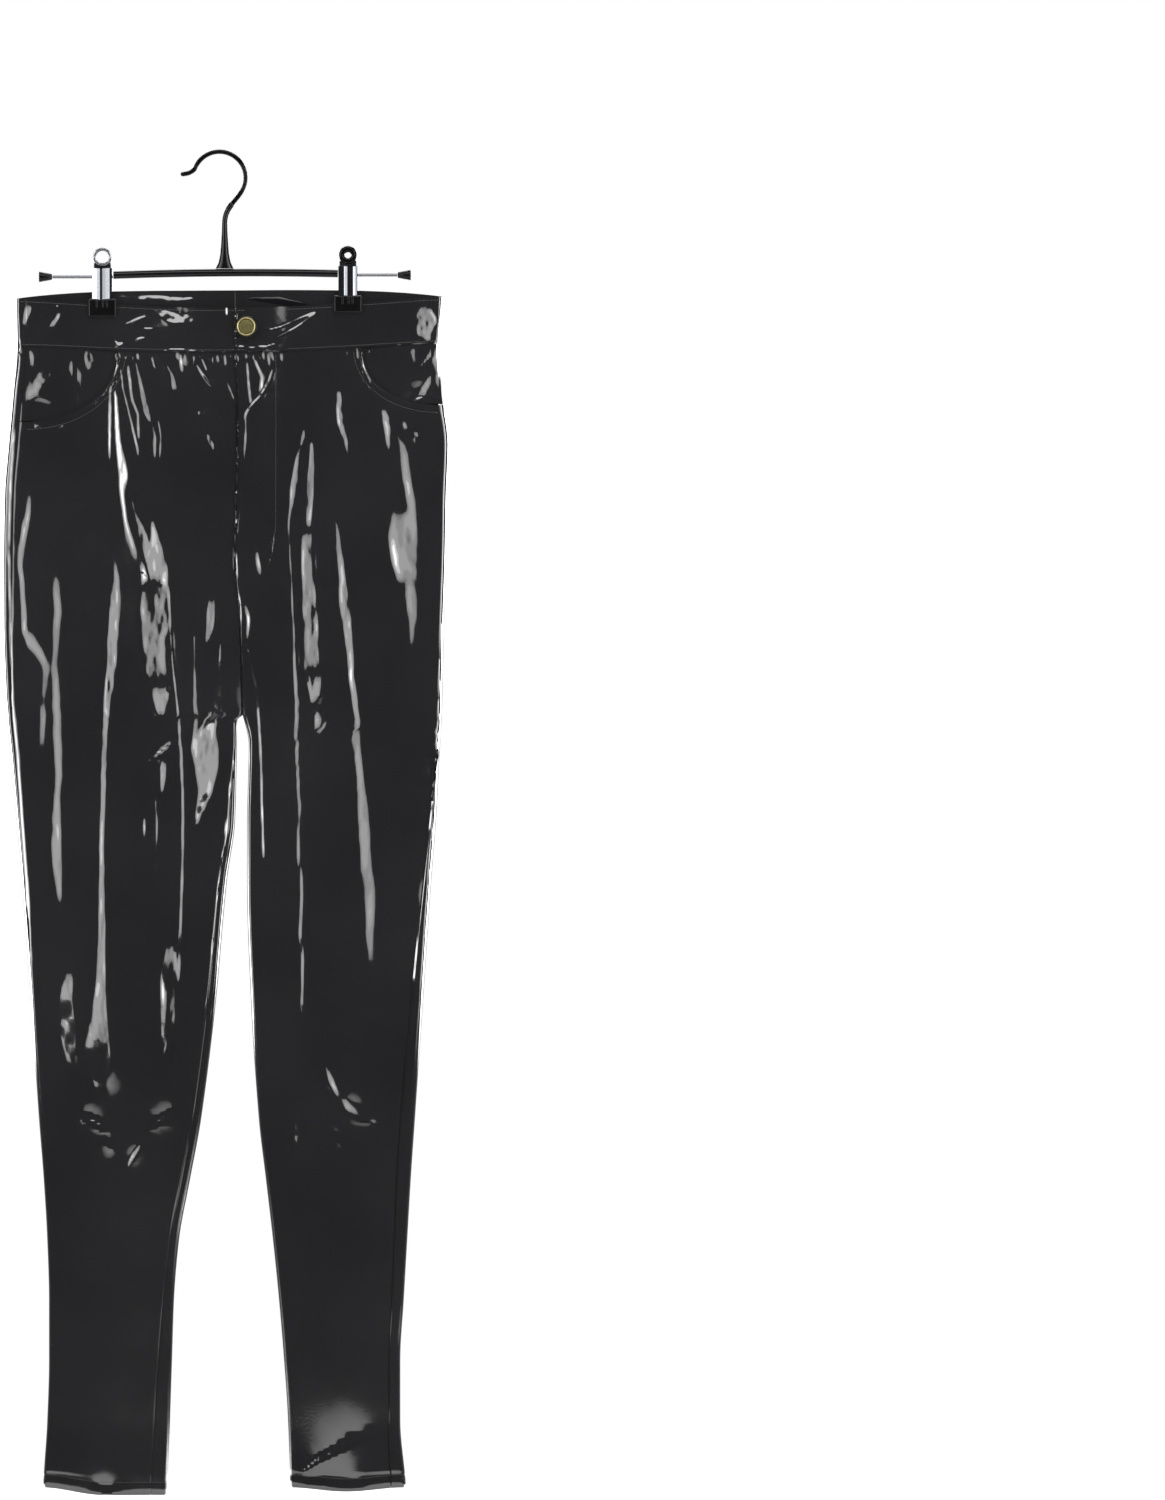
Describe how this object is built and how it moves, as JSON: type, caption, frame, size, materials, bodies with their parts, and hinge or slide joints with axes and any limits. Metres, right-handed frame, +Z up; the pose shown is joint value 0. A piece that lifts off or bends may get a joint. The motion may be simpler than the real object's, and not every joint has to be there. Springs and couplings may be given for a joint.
{
  "type": "leather trousers on a clip hanger",
  "caption": "High-waisted slim trousers in glossy black coated leather, scoop pockets and a buttoned fly lap, hanging flat from a metal clip hanger by its hook.",
  "frame": {"origin": "inside top of the hanger's hook, where a rail carries it", "axes": "+Z up along the hook and the legs, -Y the front of the trousers, +X the wearer's left"},
  "size_m": [0.3815, 0.0466, 1.1529],
  "materials": {
    "leather": "patent, high gloss",
    "button_brass": "antiqued, satin",
    "hanger_chrome": "polished",
    "hanger_dip": "dipped vinyl, glossy",
    "hanger_rubber": "moulded, satin"
  },
  "bodies": {
    "root": {"front_right": "leather", "front_left": "leather", "back_right": "leather", "back_left": "leather", "pocket_facing_right": "leather", "pocket_facing_left": "leather", "waistband_front_right": "leather", "waistband_front_left": "leather", "waistband_back": "leather", "button": "button_brass", "rail_hook": "hanger_chrome", "hanger_neck": "hanger_dip", "hanger_bar": "hanger_dip", "rod_right": "hanger_chrome", "rod_left": "hanger_chrome", "end_cap_right": "hanger_rubber", "end_cap_left": "hanger_rubber", "clip_barrel_right": "hanger_chrome", "clip_barrel_left": "hanger_chrome", "clip_jaw_front_right": "hanger_chrome", "clip_jaw_back_right": "hanger_chrome", "clip_jaw_front_left": "hanger_chrome", "clip_jaw_back_left": "hanger_chrome", "clip_pad_front_right": "hanger_rubber", "clip_pad_back_right": "hanger_rubber", "clip_pad_front_left": "hanger_rubber", "clip_pad_back_left": "hanger_rubber"}
  },
  "joints": []
}
